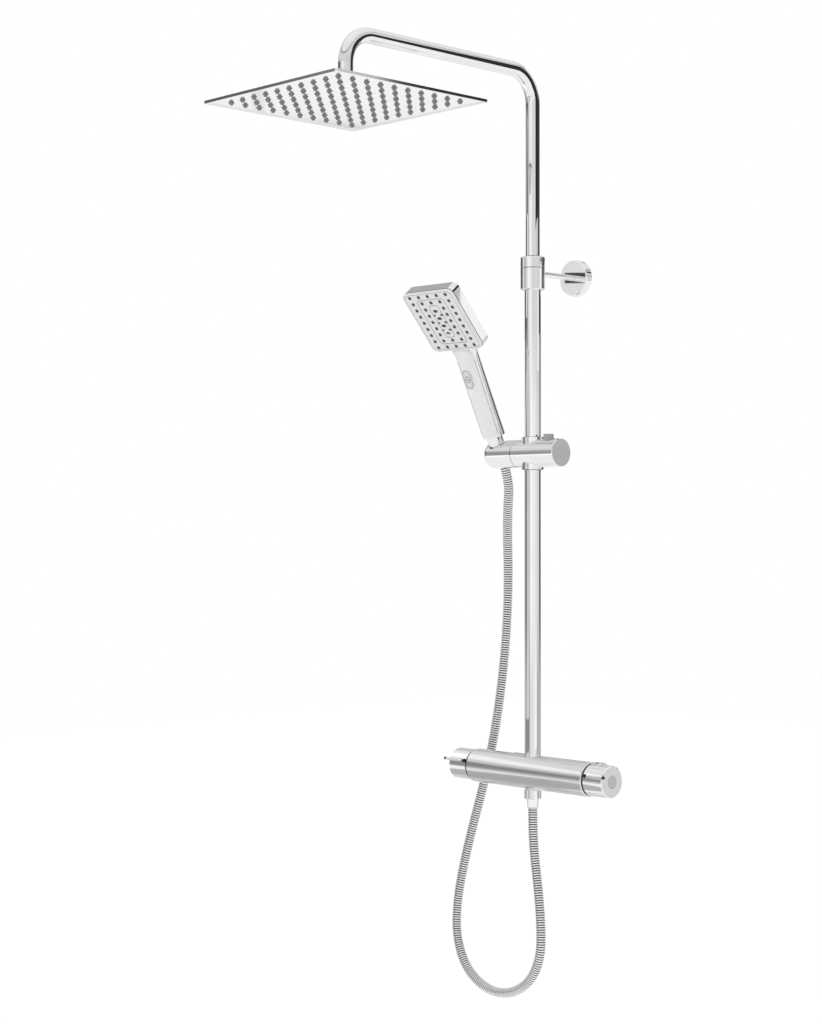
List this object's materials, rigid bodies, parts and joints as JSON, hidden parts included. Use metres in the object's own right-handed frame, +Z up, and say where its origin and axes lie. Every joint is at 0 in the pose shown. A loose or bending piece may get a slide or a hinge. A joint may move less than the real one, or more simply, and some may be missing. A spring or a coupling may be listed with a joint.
{
  "type": "rainfall shower column",
  "caption": "Wall-mounted thermostatic shower column: bar mixer, telescopic riser, square overhead rain head and a hand shower on a sliding tilting holder with a metal hose.",
  "frame": {"origin": "midway between the two supply inlets, on the plane of their nuts' rims", "axes": "+Z up along the riser, -Y out from the wall towards the bather, +X along the mixer bar towards the temperature knob"},
  "size_m": [0.3153, 0.558, 1.277],
  "materials": {
    "chrome": "mirror polished",
    "satin_chrome": "satin",
    "stainless": "fine brushed",
    "hose_steel": "ribbed double-lock strip",
    "brass": "machined",
    "steel": "plain",
    "handset_chrome": "chrome-plated",
    "handset_grey": "smooth light grey",
    "button_grey": "satin",
    "rubber_grey": "soft silicone",
    "rubber_dark": "soft silicone",
    "black_plastic": "matt",
    "nylon": "low-friction nylon"
  },
  "bodies": {
    "mixer": {"mixer_body": "satin_chrome", "inlet_union_nuts": "chrome", "inlet_filters": "rubber_dark", "inlet_check_valves": "nylon", "flow_cartridge": "brass", "thermostat_cartridge": "brass", "flow_stop_ring": "black_plastic", "temperature_stop_ring": "black_plastic", "outlet_nipple": "brass", "outlet_washer": "rubber_dark", "hose_outlet_nut": "chrome", "hose_outlet_ferrule": "chrome", "hose": "hose_steel", "lower_tube": "chrome", "riser_nipple": "brass", "bracket_collar": "chrome", "lock_ring": "chrome", "guide_bush": "nylon", "grub_screw": "steel", "bracket_rod": "chrome", "wall_rosette": "chrome", "wall_plate": "steel"},
    "flow_handle": {"flow_knob": "chrome", "flow_grip_pin": "chrome", "flow_grip_tip": "black_plastic", "flow_spindle": "brass", "flow_end_cap": "chrome"},
    "temperature_handle": {"temperature_knob": "chrome", "temperature_grip_pin": "chrome", "temperature_grip_tip": "black_plastic", "temperature_spindle": "brass", "temperature_end_cap": "chrome"},
    "safety_stop": {"safety_button": "chrome"},
    "riser_bush": {"lift_bush": "nylon"},
    "arm": {"upper_tube": "chrome", "tube_end_plug": "brass", "ball_stud": "brass"},
    "upper_seat": {"ball_seat_upper": "nylon"},
    "lower_seat": {"ball_seat_lower": "nylon"},
    "rain_head": {"rain_head_face": "stainless", "rain_nozzle_mat": "rubber_grey", "rain_head_cover": "stainless", "rain_head_socket_nut": "chrome"},
    "sleeve": {"slider_bush": "nylon"},
    "slider": {"slider_barrel": "chrome", "slider_end_cap": "satin_chrome", "friction_washer": "nylon"},
    "release": {"release_button": "button_grey"},
    "holder": {"cradle": "chrome", "cradle_axle": "steel"},
    "hose_end": {"hose_cone_nut": "chrome"},
    "hand_shower": {"handset_shell": "handset_chrome", "handset_face": "handset_grey", "handset_nozzle_mat": "rubber_dark", "handset_water_pipe": "nylon"},
    "mode_key": {"mode_button": "handset_grey"}
  },
  "joints": [
    {"name": "flow_turn", "type": "hinge", "parent": "mixer", "child": "flow_handle", "pos_m": [-0.124, -0.055, 0], "axis": [-1, 0, 0], "range_deg": [-90, 90]},
    {"name": "temperature_turn", "type": "hinge", "parent": "mixer", "child": "temperature_handle", "pos_m": [0.124, -0.055, 0], "axis": [1, 0, 0], "range_deg": [-160, 70]},
    {"name": "safety_press", "type": "slide", "parent": "temperature_handle", "child": "safety_stop", "axis": [0, 0, -1], "range_m": [0, 0.0012], "stiffness_N_per_m": 600, "springref_m": -0.001},
    {"name": "arm_height", "type": "slide", "parent": "mixer", "child": "riser_bush", "axis": [0, 0, 1], "range_m": [-0.06, 0.14]},
    {"name": "arm_swing", "type": "hinge", "parent": "riser_bush", "child": "arm", "pos_m": [0, -0.055, 0.6], "axis": [0, 0, 1], "range_deg": [-60, 60]},
    {"name": "head_tilt", "type": "hinge", "parent": "arm", "child": "upper_seat", "pos_m": [0, -0.395, 0.884], "axis": [1, 0, 0], "range_deg": [-10, 10]},
    {"name": "head_roll", "type": "hinge", "parent": "upper_seat", "child": "lower_seat", "pos_m": [0, -0.395, 0.884], "axis": [0, 1, 0], "range_deg": [-10, 10]},
    {"name": "head_turn", "type": "hinge", "parent": "lower_seat", "child": "rain_head", "pos_m": [0, -0.395, 0.884], "axis": [0, 0, 1], "continuous": true},
    {"name": "slider_height", "type": "slide", "parent": "mixer", "child": "sleeve", "axis": [0, 0, 1], "range_m": [-0.23, 0.15], "deforming": ["hose"]},
    {"name": "slider_swing", "type": "hinge", "parent": "sleeve", "child": "slider", "pos_m": [0, -0.055, 0.433], "axis": [0, 0, 1], "range_deg": [-35, 35], "deforming": ["hose"]},
    {"name": "release_press", "type": "slide", "parent": "slider", "child": "release", "axis": [0, 0, -1], "range_m": [0, 0.003], "stiffness_N_per_m": 900, "springref_m": -0.001},
    {"name": "cradle_tilt", "type": "hinge", "parent": "slider", "child": "holder", "pos_m": [-0.0256, -0.055, 0.433], "axis": [1, 0, 0], "range_deg": [-16, 30], "deforming": ["hose"]},
    {"name": "handset_lift", "type": "slide", "parent": "holder", "child": "hose_end", "axis": [0, -0.4384, 0.8988], "range_m": [0, 0.06], "deforming": ["hose"]},
    {"name": "handset_spin", "type": "hinge", "parent": "hose_end", "child": "hand_shower", "pos_m": [-0.061, -0.055, 0.433], "axis": [0, -0.4384, 0.8988], "range_deg": [-90, 90]},
    {"name": "mode_press", "type": "slide", "parent": "hand_shower", "child": "mode_key", "axis": [0, 0.8988, 0.4384], "range_m": [0, 0.001], "stiffness_N_per_m": 800, "springref_m": -0.001}
  ]
}
